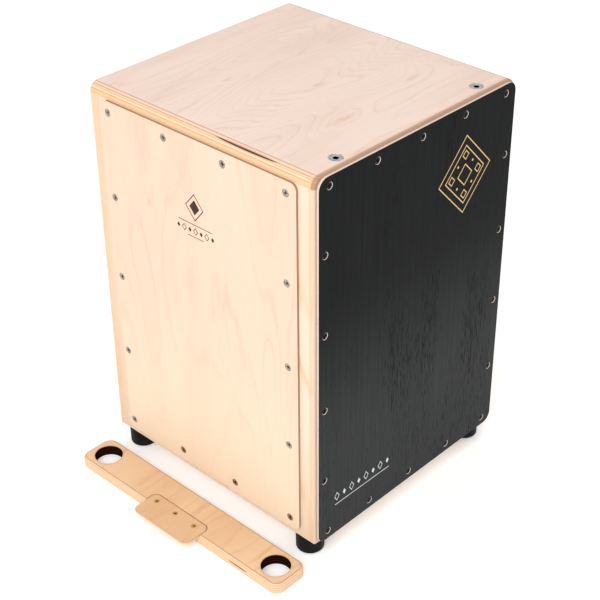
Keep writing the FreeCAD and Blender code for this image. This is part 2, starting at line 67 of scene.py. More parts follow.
class Shade:
    """A material in the making: its surface shader, its place in millimetres, and short ways to add nodes."""

    def __init__(self, name, seed, roughness=0.5, metallic=0.0, specular=0.5):
        self.material = bpy.data.materials.new(name)
        self.material.use_nodes = True
        self.tree = self.material.node_tree
        self.surface = self.tree.nodes["Principled BSDF"]
        self.surface.inputs["Roughness"].default_value = roughness
        self.surface.inputs["Metallic"].default_value = metallic
        self.surface.inputs["Specular IOR Level"].default_value = specular
        self.seed = seed
        metres = self.node("TexCoord").outputs["Object"]
        self.place = self.vector("SCALE", metres, Scale=1 / MM)
        self.axes = self.node("SeparateXYZ", {"Vector": self.place}).outputs

    def node(self, kind, inputs=None, **settings):
        """Adds a node, sets its options, and feeds its inputs with numbers or with other nodes."""
        made = self.tree.nodes.new("ShaderNode" + kind)
        for name, value in settings.items():
            setattr(made, name, value)
        for socket, value in (inputs or {}).items():
            self.feed(made.inputs[socket], value)
        return made

    def feed(self, socket, value):
        """Links a socket to another node's output, or sets its value."""
        if isinstance(value, bpy.types.NodeSocket):
            self.tree.links.new(value, socket)
        else:
            socket.default_value = value

    def math(self, operation, *values, clamp=False):
        """One number worked out from others."""
        made = self.node("Math", dict(enumerate(values)), operation=operation, use_clamp=clamp)
        return made.outputs[0]

    def vector(self, operation, *values, **named):
        """A point or a length worked out from points and numbers."""
        made = self.node("VectorMath", {**dict(enumerate(values)), **named}, operation=operation)
        return made.outputs["Value" if operation in ("LENGTH", "DOT_PRODUCT") else "Vector"]

    def rise(self, value, low, high):
        """0 below low, 1 above high, and a smooth step between them."""
        made = self.node("MapRange", {"Value": value, "From Min": low, "From Max": high},
                         interpolation_type="SMOOTHSTEP")
        return made.outputs["Result"]

    def band(self, value, low, high, soft=0.2):
        """1 between two levels, with soft edges outside them."""
        return self.math("SUBTRACT", self.rise(value, low - soft, low), self.rise(value, high, high + soft))

    def curve(self, value, *stops):
        """A line through (position, height) stops, both from 0 to 1."""
        ramp = self.node("ValToRGB", {"Fac": value})
        elements = ramp.color_ramp.elements
        elements.remove(elements[1])
        elements[0].position = stops[0][0]
        elements[0].color = (stops[0][1],) * 3 + (1,)
        for position, height in stops[1:]:
            elements.new(position).color = (height, height, height, 1)
        return ramp.outputs["Color"]

    def blend(self, share, first, second, kind="MIX"):
        """The first colour with a share of the second laid over it."""
        made = self.node("Mix", data_type="RGBA", blend_type=kind)
        self.feed(made.inputs[0], share)
        self.feed(made.inputs[6], first)
        self.feed(made.inputs[7], second)
        return made.outputs[2]

    def noise(self, scale, detail=2.0, roughness=0.5, distortion=0.0):
        """Noise with its own waves per millimetre along X, Y and Z, from a new place at each call."""
        self.seed += 1
        shift = (self.seed * 13.7 % 91, self.seed * 29.3 % 97, self.seed * 7.9 % 89)
        place = self.vector("MULTIPLY_ADD", self.place, scale, shift)
        inputs = {"Vector": place, "Scale": 1.0, "Detail": detail, "Roughness": roughness,
                  "Distortion": distortion}
        return self.node("TexNoise", inputs).outputs["Fac"]

    def spot(self, centre, reach):
        """1 at a point, fading out over its reach along each axis (0 reaches without end)."""
        spread = tuple(1 / r if r else 0.0 for r in reach)
        offset = self.vector("SUBTRACT", self.place, centre)
        scaled = self.vector("MULTIPLY", offset, spread)
        square = self.vector("DOT_PRODUCT", scaled, scaled)
        return self.math("EXPONENT", self.math("MULTIPLY", square, -1.0))

    def total(self, values):
        """The sum of some values."""
        result = values[0]
        for value in values[1:]:
            result = self.math("ADD", result, value)
        return result

    def bump(self, height, millimetres):
        """Shades the surface as if it rose by a height from 0 to 1 times some millimetres."""
        made = self.node("Bump", {"Height": height, "Distance": millimetres * MM, "Strength": 1.0})
        self.feed(self.surface.inputs["Normal"], made.outputs["Normal"])

    def finish(self, colour, roughness=None):
        """Feeds the surface its colour and roughness and gives back the material."""
        self.feed(self.surface.inputs["Base Color"], colour)
        if roughness is not None:
            self.feed(self.surface.inputs["Roughness"], roughness)
        return self.material


def srgb(red, green, blue):
    """A colour in linear light from display values of 0 to 255."""
    def linear(value):
        value = value / 255
        return value / 12.92 if value <= 0.04045 else ((value + 0.055) / 1.055) ** 2.4
    return (linear(red), linear(green), linear(blue), 1.0)


def along_axes(grain, along, across):
    """One number for the grain's axis and another for the two axes across it."""
    return tuple(along if axis == grain else across for axis in range(3))


def on_face(normal, first, second, through=0.0):
    """A point or reach on a face, from its two in-plane numbers in the order of the axes."""
    plane = [axis for axis in (X, Y, Z) if axis != normal]
    result = [through] * 3
    result[plane[0]] = first
    result[plane[1]] = second
    return tuple(result)


# ---------------------------------------------------------------- wood

PANEL_BIRCH = srgb(226, 195, 172)
PANEL_LINE = srgb(204, 164, 138)
PANEL_CREAM = srgb(232, 210, 180)
WALL_BIRCH = srgb(226, 204, 182)
WALL_LINE = srgb(214, 170, 128)
PINK_BIRCH = srgb(222, 200, 186)
PINK_LINE = srgb(196, 160, 142)
EDGE_PALE = srgb(232, 200, 166)
EDGE_TAN = srgb(213, 168, 124)
# Brown of glue lines and seams, also laid on as painted shade in gaps and deep cut edges.
GLUE_AND_SHADE_BROWN = srgb(140, 96, 64)
EDGE_BROWN = srgb(84, 60, 42)
EDGE_AMBER = srgb(222, 170, 116)
PINK_EDGE = srgb(220, 186, 164)
RIM_GREY = srgb(198, 174, 158)
KNOT = srgb(200, 160, 124)
VOID = srgb(84, 36, 20)
OILED = srgb(230, 193, 155)
OILED_DARK = srgb(219, 180, 142)
OILED_LINE = srgb(203, 156, 112)
BURNT = srgb(26, 11, 9)
SEAM_BROWN = srgb(76, 44, 34)

# Thickness of one ply of each board, in millimetres.
SEAT_PLY = 1.95
WALL_PLY = 1.67
BACK_PLY = 1.33
PLATE_PLY = 1.17
THIN_PLY = 1.0
BAR_PLY = 1.7

# How far the fibres stand out, in millimetres, and how rough a cut edge is.
WOOD_RELIEF = 0.05
EDGE_ROUGHNESS = 0.62


def depth_under(s, node, axis, side):
    """Millimetres below one face of a CAD node, and the node's thickness."""
    low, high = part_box(node)
    thickness = (high[axis] - low[axis]) / MM
    if side > 0:
        depth = s.math("SUBTRACT", high[axis] / MM, s.axes[axis])
    else:
        depth = s.math("SUBTRACT", s.axes[axis], low[axis] / MM)
    return depth, thickness


def veneer(s, grain, normal, pale, line, strength=1.0, rings=9.0, figures=(), knots=()):
    """The colour and the relief of a peeled birch face: contour lines of growth rings, fibres and flecks.

    Each figure is (first, second, reach, reach, rings) on the face, and each knot the same without rings."""
    slow = s.noise(along_axes(grain, 1 / 620, 1 / 84), detail=1.0)
    quick = s.noise(along_axes(grain, 1 / 110, 1 / 22), detail=3.0, roughness=0.6)
    parts = [s.math("MULTIPLY", slow, rings), s.math("MULTIPLY", quick, rings * 0.09)]
    for a, b, reach_a, reach_b, count in figures:
        hill = s.spot(on_face(normal, a, b), on_face(normal, reach_a, reach_b))
        parts.append(s.math("MULTIPLY", hill, count))
    ring = s.math("FRACT", s.total(parts))
    late = s.curve(ring, (0.0, 0.0), (0.5, 0.04), (0.74, 0.3), (0.84, 1.0), (0.91, 0.45), (1.0, 0.0))
    patch = s.rise(s.noise(along_axes(grain, 1 / 150, 1 / 34), detail=2.0), 0.3, 0.65)
    hair = s.noise(along_axes(grain, 1 / 60, 1 / 1.6), detail=3.0, roughness=0.7)
    shown = s.math("MULTIPLY", s.math("MULTIPLY_ADD", patch, 0.7, 0.3), strength)
    torn = s.math("MULTIPLY", late, s.rise(hair, 0.25, 0.6))
    colour = s.blend(s.math("MULTIPLY", torn, shown), pale, line)
    for a, b, reach_a, reach_b in knots:
        mark = s.spot(on_face(normal, a, b), on_face(normal, reach_a, reach_b))
        ragged = s.math("MULTIPLY", mark, s.noise(along_axes(grain, 1 / 9, 1 / 2.5), detail=3.0))
        colour = s.blend(s.math("MULTIPLY", s.rise(ragged, 0.1, 0.75), 0.7), colour, KNOT)
    warm = s.noise(along_axes(grain, 1 / 240, 1 / 55), detail=3.0)
    colour = s.blend(s.math("MULTIPLY", s.rise(warm, 0.4, 0.7), 0.22), colour, line)
    fibre = s.noise(along_axes(grain, 1 / 45, 1 / 0.9), detail=3.0, roughness=0.65)
    flame = s.noise(along_axes(grain, 1 / 6, 1 / 16), detail=2.0)
    fleck = s.rise(s.noise(along_axes(grain, 1 / 5, 1 / 0.45), detail=1.0), 0.66, 0.8)
    shade = s.total([s.math("MULTIPLY", fibre, 0.11), s.math("MULTIPLY", flame, 0.05),
                     s.math("MULTIPLY", hair, 0.05), s.math("MULTIPLY", fleck, -0.08)])
    bright = s.math("ADD", shade, 0.9)
    tone = s.node("CombineXYZ", {0: bright, 1: bright, 2: bright}).outputs[0]
    relief = s.math("SUBTRACT", s.math("MULTIPLY", fibre, 0.5), s.math("MULTIPLY", fleck, 0.5))
    return s.blend(1.0, colour, tone, "MULTIPLY"), relief


def ply_edge(s, axis, depth, ply, voids=()):
    """The colour of a cut plywood edge: plies a given thickness apart, glue lines, end grain and voids.

    Each void is (centre, reach) as points, where its depth lies along the board's thickness."""
    wobble = s.noise((1 / 90, 1 / 90, 1 / 90), detail=2.0)
    wavy = s.math("ADD", depth, s.math("MULTIPLY_ADD", wobble, 0.5, -0.25))
    turn = s.math("FRACT", s.math("DIVIDE", wavy, 2 * ply))
    cross = s.curve(turn, (0.0, 0.3), (0.06, 0.0), (0.4, 0.08), (0.47, 1.0), (0.56, 0.6),
                    (0.9, 0.45), (0.96, 0.85), (1.0, 0.3))
    grit = s.noise(along_axes(axis, 1 / 0.28, 1 / 11), detail=3.0, roughness=0.6)
    pores = s.noise((1 / 0.7, 1 / 0.7, 1 / 0.7), detail=2.0)
    colour = s.blend(cross, EDGE_PALE, EDGE_TAN)
    colour = s.blend(s.math("MULTIPLY", s.rise(cross, 0.7, 1.0), 0.55), colour, GLUE_AND_SHADE_BROWN)
    colour = s.blend(s.math("MULTIPLY", s.rise(grit, 0.5, 0.75), 0.45), colour, EDGE_TAN)
    colour = s.blend(s.math("MULTIPLY", s.rise(pores, 0.62, 0.72), 0.2), colour, GLUE_AND_SHADE_BROWN)
    relief = s.math("MULTIPLY", grit, 0.5)
    for centre, reach in voids:
        hollow = s.rise(s.spot(centre, reach), 0.3, 0.45)
        colour = s.blend(hollow, colour, VOID)
        relief = s.math("SUBTRACT", relief, hollow)
    return colour, relief


def plywood(s, node, axis, side, grain, ply, pale, line, voids=(), **look):
    """A plywood board: veneer on its faces and plies on its cut edges."""
    depth, thickness = depth_under(s, node, axis, side)
    face, face_relief = veneer(s, grain, axis, pale, line, **look)
    edge, edge_relief = ply_edge(s, axis, depth, ply, voids)
    inside = s.math("MINIMUM", depth, s.math("SUBTRACT", thickness, depth))
    cut = s.rise(inside, 0.03, 0.45)
    colour = s.blend(cut, face, edge)
    relief = s.math("ADD", s.math("MULTIPLY", face_relief, s.math("SUBTRACT", 1.0, cut)),
                    s.math("MULTIPLY", edge_relief, cut))
    return colour, relief, cut, depth


def satin(s, cut, low=0.4):
    """Roughness of lacquered wood: satin faces, with drier cut edges."""
    cloud = s.noise((1 / 35, 1 / 35, 1 / 35), detail=3.0)
    smooth = s.math("MULTIPLY_ADD", cloud, 0.12, low)
    return s.math("ADD", smooth, s.math("MULTIPLY", cut, EDGE_ROUGHNESS - low))


def seat_wood():
    """The seat: a pinkish face with wide figures, amber lower plies, dark seams and a void in its edge, and a
    painted shadow line along its front where the plate meets it.
    """
    s = Shade("seat_wood", 1, specular=0.45)
    low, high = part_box("seat_board")
    left, top = low.x / MM, high.z / MM
    voids = [((left, -66, top - 2.0), (12, 46, 1.25))]
    figures = [(2, -94, 46, 18, 3.2), (118, -60, 70, 34, 5.0), (38, -22, 110, 52, 8.0), (70, 80, 80, 26, 4.0)]
    knots = [(2, -94, 30, 7), (128, -81, 14, 5), (42, -18, 6, 4), (-10, 62, 9, 4)]
    colour, relief, cut, depth = plywood(s, "seat_board", Z, 1, X, SEAT_PLY, PINK_BIRCH, PINK_LINE, voids,
                                         figures=figures, knots=knots, strength=0.48, rings=18.0)
    for top_ply, bottom_ply, share, tint in ((0.35, 1.7, 0.8, PINK_EDGE), (6.0, 17.0, 0.25, EDGE_AMBER)):
        colour = s.blend(s.math("MULTIPLY", s.band(depth, top_ply, bottom_ply), share), colour, tint)
    sway = s.math("MULTIPLY_ADD", s.noise((1 / 60, 1 / 60, 1 / 60), detail=2.0), 0.8, -0.4)
    for level, share in ((0.35, 0.5), (1.9, 0.6), (3.6, 0.4), (5.8, 0.7), (8.6, 0.4), (12.4, 0.35)):
        wavy = s.math("ADD", depth, s.math("MULTIPLY", sway, min(1.0, level / 4)))
        seam = s.band(wavy, level - 0.08, level + 0.2, 0.1)
        colour = s.blend(s.math("MULTIPLY", seam, share), colour, GLUE_AND_SHADE_BROWN)
    front = s.math("SUBTRACT", s.axes[Y], low.y / MM)
    colour = s.blend(s.math("MULTIPLY", s.band(front, 4.2, 6.0, 1.2), 0.4), colour, EDGE_TAN)
    # Painted shadow: a dark brown line along the seat's front edge, where it meets the plate.
    colour = s.blend(s.math("MULTIPLY", s.band(front, -1.0, 3.8, 0.8), 0.65), colour, GLUE_AND_SHADE_BROWN)
    s.bump(relief, WOOD_RELIEF)
    return s.finish(colour, satin(s, cut))


def base_wood():
    """The base board, plain birch underneath."""
    s = Shade("base_wood", 20, specular=0.45)
    colour, relief, cut, _ = plywood(s, "base_board", Z, -1, X, SEAT_PLY, WALL_BIRCH, WALL_LINE)
    s.bump(relief, WOOD_RELIEF)
    return s.finish(colour, satin(s, cut))


def wall_wood(node, side, seed):
    """A side wall: upright grain, amber toward its front and back edges, and grey rims along them."""
    s = Shade(node + "_wood", seed, specular=0.45)
    colour, relief, cut, _ = plywood(s, node, X, side, Z, WALL_PLY, WALL_BIRCH, WALL_LINE, strength=0.8)
    low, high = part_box(node)
    from_front = s.math("SUBTRACT", s.axes[Y], low.y / MM)
    to_back = s.math("SUBTRACT", high.y / MM, s.axes[Y])
    for distance, reach, share in ((from_front, 9.0, 0.5), (to_back, 28.0, 0.5)):
        amber = s.math("SUBTRACT", s.rise(distance, 2.0, 3.4), s.rise(distance, 4.6, reach))
        colour = s.blend(s.math("MULTIPLY", amber, share), colour, EDGE_TAN)
    rim = s.math("SUBTRACT", 1.0, s.rise(s.math("MINIMUM", from_front, to_back), 1.4, 2.6))
    colour = s.blend(s.math("MULTIPLY", rim, 0.7), colour, RIM_GREY)
    s.bump(relief, WOOD_RELIEF)
    return s.finish(colour, satin(s, cut))


def back_wood():
    """The back board, plain birch with upright grain."""
    s = Shade("back_wood", 60, specular=0.4)
    colour, relief, cut, _ = plywood(s, "back_board", Y, 1, Z, BACK_PLY, WALL_BIRCH, WALL_LINE)
    s.bump(relief, WOOD_RELIEF)
    return s.finish(colour, satin(s, cut))


def panel_wood():
    """The side panel: upright grain, creamier toward the bottom, with browned edges."""
    s = Shade("panel_wood", 80, specular=0.4)
    figures = [(31, 300, 26, 105, 2.4), (-27, 225, 9, 30, 1.6),
               (-100, 250, 16, 120, 2.0), (82, 105, 22, 36, 2.2)]
    knots = [(82, 91, 4, 6), (78, 372, 6, 8)]
    colour, relief, cut, depth = plywood(s, "side_panel", X, -1, Z, THIN_PLY, PANEL_BIRCH, PANEL_LINE,
                                         figures=figures, knots=knots, strength=0.55, rings=11.0)
    low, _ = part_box("side_panel")
    cream = s.math("SUBTRACT", 1.0, s.rise(s.axes[Z], low.z / MM + 20, low.z / MM + 300))
    colour = s.blend(s.math("MULTIPLY", cream, 0.6), colour, PANEL_CREAM)
    inner_ply = s.band(depth, 1.15, 1.75)
    stained = s.math("MULTIPLY", cut, s.math("MULTIPLY_ADD", inner_ply, -0.4, 0.85))
    colour = s.blend(stained, colour, EDGE_BROWN)
    s.bump(relief, WOOD_RELIEF)
    return s.finish(colour, satin(s, cut, 0.42))


def charred_hole(s, colour, gloss, depth, ply, centre, radius):
    """A colour and a gloss with the burnt wall of an upright hole laid over them, and its paler seams."""
    offset = s.vector("MULTIPLY", s.vector("SUBTRACT", s.place, centre), (1.0, 1.0, 0.0))
    distance = s.vector("LENGTH", offset)
    ragged = s.math("MULTIPLY_ADD", s.noise((1 / 6, 1 / 6, 1 / 3), detail=3.0), 0.9, -0.45)
    near = s.math("SUBTRACT", 1.0, s.rise(s.math("ADD", distance, ragged), radius + 0.6, radius + 1.3))
    charred = s.math("MULTIPLY", near, s.rise(depth, 0.02, 0.5))
    turn = s.math("FRACT", s.math("DIVIDE", depth, 2 * ply))
    seam = s.curve(turn, (0.0, 0.0), (0.42, 0.0), (0.5, 1.0), (0.62, 0.0), (1.0, 0.0))
    colour = s.blend(charred, colour, s.blend(seam, BURNT, SEAM_BROWN))
    gloss = s.math("MULTIPLY", s.math("SUBTRACT", 1.0, charred), gloss)
    rim = s.math("SUBTRACT", s.math("SUBTRACT", 1.0, s.rise(distance, radius, radius + 3)), charred)
    return s.blend(s.math("MULTIPLY", rim, 0.25, clamp=True), colour, GLUE_AND_SHADE_BROWN), gloss


def bar_wood(name, node, ply, seed, pale, voids=(), holes=(), **look):
    """Oiled plywood lying flat, with a brown line under its brink and with burnt holes."""
    s = Shade(name, seed)
    colour, relief, cut, depth = plywood(s, node, Z, 1, X, ply, pale, OILED_LINE, voids, **look)
    brink = s.band(depth, 0.15, 0.5)
    colour = s.blend(s.math("MULTIPLY", brink, 0.55), colour, GLUE_AND_SHADE_BROWN)
    gloss = 0.4
    for centre, radius in holes:
        colour, gloss = charred_hole(s, colour, gloss, depth, ply, centre, radius)
    s.feed(s.surface.inputs["Specular IOR Level"], gloss)
    s.bump(relief, WOOD_RELIEF)
    return s.finish(colour, satin(s, cut, 0.45))


def plate_veneer():
    """Black stained open-grain veneer: upright pores and a faint sheen between them, more pores and a painted
    reflection of the floor that lightens it toward the bottom, pale where it is cut, and browner deep in the
    cut edge from glue and painted shade.
    """
    s = Shade("plate_veneer", 120, specular=0.05)
    low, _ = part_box("front_plate")
    depth, _ = depth_under(s, "front_plate", Y, -1)
    # Painted reflection: this mask lightens the stain toward the bottom as if the pale floor shone in it; it
    # also adds a few more pores low down.
    lower = s.math("SUBTRACT", 1.0, s.rise(s.axes[Z], low.z / MM + 110, low.z / MM + 330))
    pore_field = s.noise(along_axes(Z, 1 / 15, 1 / 1.1), detail=3.0, roughness=0.7)
    zone = s.noise(along_axes(Z, 1 / 240, 1 / 40), detail=2.0)
    share = s.math("MULTIPLY_ADD", lower, 0.04, s.math("MULTIPLY_ADD", zone, 0.4, -0.2))
    pores = s.rise(s.math("ADD", pore_field, share), 0.6, 0.7)
    streak = s.noise(along_axes(Z, 1 / 140, 1 / 2.6), detail=3.0, roughness=0.6)
    plain_stain = s.blend(s.rise(streak, 0.3, 0.7), srgb(17, 18, 19), srgb(26, 27, 28))
    stain_with_painted_sheen = s.blend(s.rise(streak, 0.3, 0.7), srgb(48, 49, 49), srgb(56, 57, 57))
    colour = s.blend(lower, plain_stain, stain_with_painted_sheen)
    colour = s.blend(s.math("MULTIPLY", pores, 0.6), colour, srgb(9, 9, 10))
    edge, _ = ply_edge(s, Y, depth, PLATE_PLY)
    pale = s.blend(0.8, edge, srgb(204, 190, 180))
    ragged = s.noise((1 / 1.5, 1 / 1.5, 1 / 1.5), detail=2.0)
    raw = s.rise(s.math("ADD", depth, s.math("MULTIPLY_ADD", ragged, 0.1, -0.05)), 0.06, 0.14)
    colour = s.blend(raw, colour, pale)
    # Part glue, part painted shade: the cut edge browns deep inside, where the plate meets the box.
    colour = s.blend(s.math("MULTIPLY", s.rise(depth, 2.0, 2.6), 0.6), colour, GLUE_AND_SHADE_BROWN)
    s.bump(s.math("SUBTRACT", s.math("MULTIPLY", streak, 0.15), pores), 0.12)
    rough = s.math("MULTIPLY_ADD", streak, 0.14, 0.44)
    return s.finish(colour, s.math("ADD", rough, s.math("MULTIPLY", pores, 0.2)))


def plain_timber(name, seed, pale, line, grain, ring=2.2):
    """Planed solid timber with straight growth rings."""
    s = Shade(name, seed, roughness=0.55, specular=0.4)
    sway = s.noise(along_axes(grain, 1 / 220, 1 / 30), detail=2.0)
    across = s.axes[X if grain != X else Y]
    ring_place = s.math("DIVIDE", s.math("ADD", across, s.math("MULTIPLY", sway, 12)), ring)
    rings = s.curve(s.math("FRACT", ring_place), (0.0, 0.1), (0.5, 0.25), (0.85, 1.0), (1.0, 0.1))
    fibre = s.noise(along_axes(grain, 1 / 30, 1 / 0.5), detail=3.0)
    colour = s.blend(s.math("MULTIPLY", rings, 0.6), pale, line)
    colour = s.blend(s.math("MULTIPLY", s.rise(fibre, 0.5, 0.8), 0.4), colour, line)
    s.bump(s.math("ADD", fibre, rings), 0.06)
    return s.finish(colour)


# ---------------------------------------------------------------- metal and rubber

def metal(name, seed, colour, dark, roughness, node, axis, side, recess):
    """Bright metal with fine scratches and darker cloudy tarnish, and painted shade below a recess's depth
    under the outer face.
    """
    s = Shade(name, seed, metallic=1.0)
    depth, _ = depth_under(s, node, axis, side)
    scratch = s.noise((1 / 0.9, 1 / 0.9, 1 / 0.9), detail=4.0, roughness=0.7, distortion=0.6)
    cloud = s.noise((1 / 3, 1 / 3, 1 / 3), detail=2.0)
    tint = s.blend(s.math("MULTIPLY", s.rise(cloud, 0.4, 0.7), 0.5), colour, dark)
    # Painted shade: everything deeper than the recess under the outer face, such as sockets, crosses and
    # countersinks, takes the dark colour.
    tint = s.blend(s.rise(depth, recess, recess + 0.25), tint, dark)
    s.bump(scratch, 0.02)
    return s.finish(tint, s.math("MULTIPLY_ADD", scratch, 0.25, roughness - 0.12))


def wound_wire():
    """Steel string with a fine wrap wound round it."""
    s = Shade("wound_wire", 230, roughness=0.32, metallic=1.0)
    wrap = s.math("SINE", s.math("MULTIPLY", s.axes[Z], 2 * math.pi / 0.4))
    tarnish = s.noise((1 / 6, 1 / 6, 1 / 14), detail=3.0)
    colour = s.blend(s.rise(tarnish, 0.45, 0.7), srgb(196, 192, 184), srgb(128, 118, 104))
    s.bump(wrap, 0.06)
    return s.finish(colour)


def rubber():
    """Moulded black rubber with a dusty, slightly grained skin."""
    s = Shade("rubber", 240, specular=0.15)
    grain = s.noise((1 / 0.8, 1 / 0.8, 1 / 0.8), detail=3.0, roughness=0.7)
    dust = s.noise((1 / 9, 1 / 9, 1 / 5), detail=3.0)
    colour = s.blend(s.rise(dust, 0.45, 0.75), srgb(10, 9, 8), srgb(22, 20, 18))
    s.bump(grain, 0.08)
    return s.finish(colour, s.math("MULTIPLY_ADD", dust, 0.2, 0.48))


def gold_paint():
    """Gold paint with fine specks."""
    s = Shade("gold_paint", 250, metallic=0.55)
    speck = s.noise((1 / 0.6, 1 / 0.6, 1 / 0.6), detail=3.0)
    colour = s.blend(s.rise(speck, 0.35, 0.7), srgb(206, 170, 104), srgb(232, 205, 146))
    s.bump(speck, 0.02)
    return s.finish(colour, s.math("MULTIPLY_ADD", speck, 0.2, 0.32))


def white_print():
    """White print, broken by the pores of the veneer under it."""
    s = Shade("white_print", 260, specular=0.3)
    pores = s.rise(s.noise(along_axes(Z, 1 / 12, 1 / 0.5), detail=2.0), 0.62, 0.7)
    colour = s.blend(s.math("MULTIPLY", pores, 0.5), srgb(214, 214, 212), srgb(90, 92, 92))
    s.bump(pores, -0.03)
    return s.finish(colour, s.math("MULTIPLY_ADD", pores, 0.2, 0.5))


def burned_mark():
    """Wood burned dark brown, unevenly along its grain."""
    s = Shade("burned_mark", 270, specular=0.25)
    char = s.noise(along_axes(Z, 1 / 6, 1 / 0.7), detail=3.0)
    colour = s.blend(s.rise(char, 0.4, 0.75), srgb(52, 27, 22), srgb(86, 50, 36))
    s.bump(char, 0.05)
    return s.finish(colour, s.math("MULTIPLY_ADD", char, 0.2, 0.55))


# ---------------------------------------------------------------- dressing the CAD parts

def dress(material, *nodes):
    """Gives CAD nodes a material in every slot."""
    for node in nodes:
        part = frame["nodes"][node]
        for slot in part.material_slots:
            slot.material = material


def pairs(*stems):
    """The left and right nodes of some names."""
    return [f"{stem}_{side}" for stem in stems for side in ("left", "right")]


def bar_holes():
    """Centres and radii of the pedal bar's two holes, in millimetres."""
    found = []
    for mount in frame["record"]["mounts"]:
        if mount["name"].startswith("bar_hole"):
            centre = tuple(value / MM for value in mount["pos_m"])
            found.append((centre, mount["dims"]["r_mm"]))
    return found


def dress_wood():
    """Wood for the boards, the bar and its tongue, the battens and the string anchors."""
    dress(seat_wood(), "seat_board")
    dress(base_wood(), "base_board")
    dress(wall_wood("left_wall", -1, 30), "left_wall")
    dress(wall_wood("right_wall", 1, 45), "right_wall")
    dress(back_wood(), "back_board")
    dress(panel_wood(), "side_panel")
    dress(plate_veneer(), "front_plate")
    low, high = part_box("pedal_bar")
    edge, top = low.x / MM, high.z / MM
    voids = [((edge, -107, top - 7.2), (6, 15, 0.8))]
    bar = bar_wood("bar_wood", "pedal_bar", BAR_PLY, 150, OILED, voids, bar_holes(), rings=14.0, strength=0.7)
    dress(bar, "pedal_bar")
    low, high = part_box("pedal_plate")
    middle = (low + high) / 2 / MM
    specks = [(middle.x - 4, middle.y - 8, 4, 1.6), (middle.x - 9, middle.y + 14, 3, 1.2)]
    tongue = bar_wood("tongue_wood", "pedal_plate", THIN_PLY, 170, OILED_DARK,
                      rings=11.0, strength=0.5, knots=specks)
    dress(tongue, "pedal_plate")
    pine = plain_timber("pine", 190, srgb(232, 203, 158), srgb(205, 160, 108), Z)
    dress(pine, *pairs("batten_front", "batten_back"))
    beech = plain_timber("beech", 200, srgb(205, 160, 122), srgb(170, 118, 82), X, 1.1)
    dress(beech, *pairs("string_anchor"))


def dress_metal():
    """Metal for the screws, washers, bolts, bushes, carriers and strings, and rubber for the feet."""
    zinc = srgb(174, 166, 156)
    aluminium = srgb(200, 202, 204)
    black = srgb(34, 34, 35)
    # The second colour of each metal is both its tarnish and the painted shade in its recesses.
    zinc_tarnish_and_shade = srgb(52, 48, 44)
    dress(metal("panel_screw_steel", 300, zinc, zinc_tarnish_and_shade, 0.3, "side_panel_screws", X, -1, 0.12),
          "side_panel_screws")
    dress(metal("plate_screw_black", 305, black, srgb(10, 10, 10), 0.4, "front_plate_screws", Y, -1, 0.25),
          "front_plate_screws")
    dress(metal("anchor_screw_steel", 310, zinc, zinc_tarnish_and_shade, 0.3, "string_anchor_screws", Z, 1, 0.3),
          "string_anchor_screws")
    dress(metal("foot_screw_steel", 315, zinc, zinc_tarnish_and_shade, 0.3, "foot_screws", Z, -1, 0.4), "foot_screws")
    dress(metal("washer_steel", 320, zinc, zinc_tarnish_and_shade, 0.35, "foot_washers", Z, -1, 2.0), "foot_washers")
    dress(metal("brass", 325, srgb(206, 176, 120), srgb(80, 58, 34), 0.35, "pedal_plate_screws", Z, 1, 0.2),
          "pedal_plate_screws")
    for node in pairs("tuner_bolt"):
        dress(metal(node + "_steel", 330, srgb(216, 216, 212), srgb(18, 19, 20), 0.22, node, Z, 1, 0.5), node)
    for node in pairs("tuner_bush"):
        dress(metal(node + "_zinc", 340, srgb(212, 211, 207), zinc_tarnish_and_shade, 0.3, node, Z, 1, 1.0), node)
    for node in pairs("snare_carrier"):
        dress(metal(node + "_aluminium", 350, aluminium, srgb(120, 122, 124), 0.4, node, Z, 1, 30), node)
    dress(wound_wire(), *pairs("snare_strings"))
    dress(rubber(), *pairs("foot_front", "foot_back"))


# ---------------------------------------------------------------- ornaments

# Thickness of the paint, in millimetres.
FILM = 0.06


def plate_surface(across, up, height):
    """A point over the front plate, from millimetres right of and above its lower left corner."""
    low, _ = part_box("front_plate")
    return Vector((low.x + across * MM, low.y - height * MM, low.z + up * MM))


def panel_surface(across, up, height):
    """A point over the side panel, from millimetres right of and above its lower left corner."""
    low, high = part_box("side_panel")
    return Vector((low.x - height * MM, high.y - across * MM, low.z + up * MM))


def rhombus(centre, half_width, half_height):
    """A rhombus standing on one of its points."""
    a, b = centre
    return [(a + half_width, b), (a, b + half_height), (a - half_width, b), (a, b - half_height)]


def stroke(left, right, low, width):
    """A level line of some width, as a closed outline."""
    return [(left, low), (right, low), (right, low + width), (left, low + width)]


def around(centre, across, up, degrees):
    """A point on an upright ellipse round a centre."""
    turn = math.radians(degrees)
    return (centre[0] + across * math.cos(turn), centre[1] + up * math.sin(turn))


def outset(points, distance):
    """A closed outline moved sideways by a distance, mitred at its corners."""
    result = []
    count = len(points)
    for i in range(count):
        before, here, after = (Vector(points[(i + k) % count]) for k in (-1, 0, 1))
        first = (here - before).normalized()
        second = (after - here).normalized()
        normal = Vector((first.y, -first.x)) + Vector((second.y, -second.x))
        normal.normalize()
        reach = distance / max(0.35, normal.dot(Vector((first.y, -first.x))))
        result.append(tuple(here + normal * reach))
    return result


